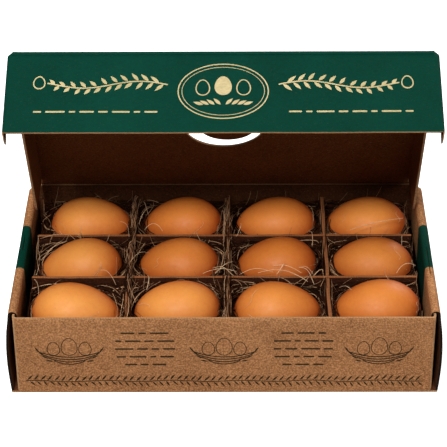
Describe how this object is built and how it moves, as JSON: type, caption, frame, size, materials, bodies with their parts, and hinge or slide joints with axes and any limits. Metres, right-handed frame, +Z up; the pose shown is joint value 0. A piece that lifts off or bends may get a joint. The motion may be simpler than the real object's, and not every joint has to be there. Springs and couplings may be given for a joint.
{
  "type": "egg carton with eggs",
  "caption": "Hinged kraft board egg box, shown open, with brown eggs lying in straw inside a grid of slotted board dividers; green front flap on the lid.",
  "frame": {"origin": "centre of the tray's underside", "axes": "+X to the right along the longest side, +Y towards the lid's hinge at the back, +Z up"},
  "size_m": [0.2756, 0.1532, 0.2018],
  "materials": {
    "kraft_board": "matte uncoated kraft corrugated board with dark and green print",
    "divider_board": "matte uncoated kraft corrugated board",
    "lid_board": "matte uncoated kraft corrugated board",
    "printed_green_board": "matte kraft board printed dark green and cream",
    "egg_shell_dark": "smooth brown egg shell, low sheen",
    "egg_shell_warm": "smooth brown egg shell, low sheen",
    "egg_shell_front": "smooth light brown egg shell, low sheen",
    "straw": "dry matte straw strands"
  },
  "bodies": {
    "tray": {"tray": "kraft_board", "column_divider_1": "divider_board", "column_divider_2": "divider_board", "column_divider_3": "divider_board", "row_divider_1": "divider_board", "row_divider_2": "divider_board", "egg_r1c1": "egg_shell_dark", "egg_r1c2": "egg_shell_dark", "egg_r1c3": "egg_shell_dark", "egg_r1c4": "egg_shell_dark", "egg_r2c1": "egg_shell_warm", "egg_r2c2": "egg_shell_warm", "egg_r2c3": "egg_shell_warm", "egg_r2c4": "egg_shell_warm", "egg_r3c1": "egg_shell_front", "egg_r3c2": "egg_shell_front", "egg_r3c3": "egg_shell_front", "egg_r3c4": "egg_shell_front", "nest_r1c1": "straw", "nest_r1c2": "straw", "nest_r1c3": "straw", "nest_r1c4": "straw", "nest_r2c1": "straw", "nest_r2c2": "straw", "nest_r2c3": "straw", "nest_r2c4": "straw", "nest_r3c1": "straw", "nest_r3c2": "straw", "nest_r3c3": "straw", "nest_r3c4": "straw"},
    "lid": {"lid": "lid_board"},
    "front_flap": {"front_flap": "printed_green_board"}
  },
  "joints": [
    {"name": "lid_hinge", "type": "hinge", "parent": "tray", "child": "lid", "pos_m": [0, 0.076, 0.063], "axis": [-1, 0, 0], "range_deg": [-64, 116]},
    {"name": "flap_crease", "type": "hinge", "parent": "lid", "child": "front_flap", "pos_m": [0, 0.00928, 0.1998], "axis": [-1, 0, 0], "range_deg": [0, 90]}
  ]
}
